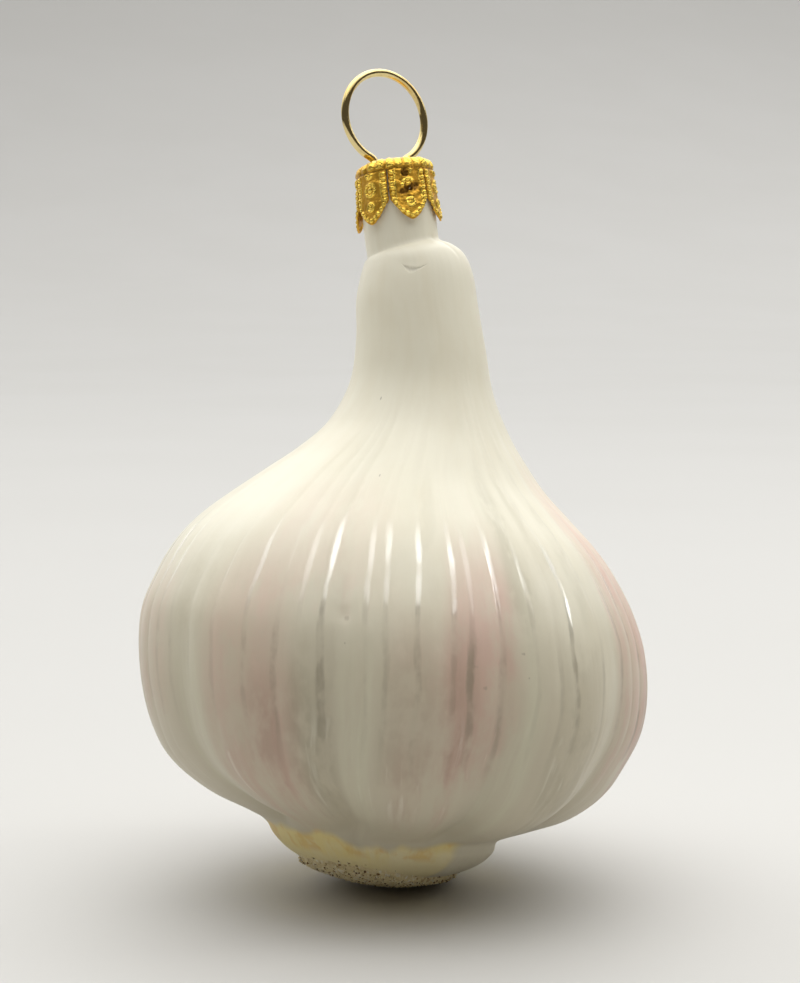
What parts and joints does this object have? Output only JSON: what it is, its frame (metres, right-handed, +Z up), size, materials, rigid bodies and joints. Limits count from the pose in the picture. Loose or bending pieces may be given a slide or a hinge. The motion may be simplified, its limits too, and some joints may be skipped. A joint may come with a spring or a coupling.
{
  "type": "glass garlic ornament",
  "caption": "Hollow blown-glass hanging ornament shaped as a garlic bulb, with a sanded root disc, a stamped petal cap and a wire hanging ring.",
  "frame": {"origin": "middle of the small flat spot under the root disc, on the surface it rests on", "axes": "+Z up, front towards -Y, +X to the right seen from the front; the bulb leans back and slightly to the right as it stands"},
  "size_m": [0.0688, 0.0689, 0.1111],
  "materials": {
    "lacquered_glass": "opaque satin white lacquer with pink and yellow tints",
    "grit": "loose mineral grit bound in lacquer",
    "stamped_cap": "thin stamped sheet, bright gold lacquer",
    "ring_wire": "polished pale gold spring wire"
  },
  "bodies": {
    "root": {"glass_bulb": "lacquered_glass", "root_crust": "grit", "cap": "stamped_cap", "hanger_wire": "ring_wire"}
  },
  "joints": []
}
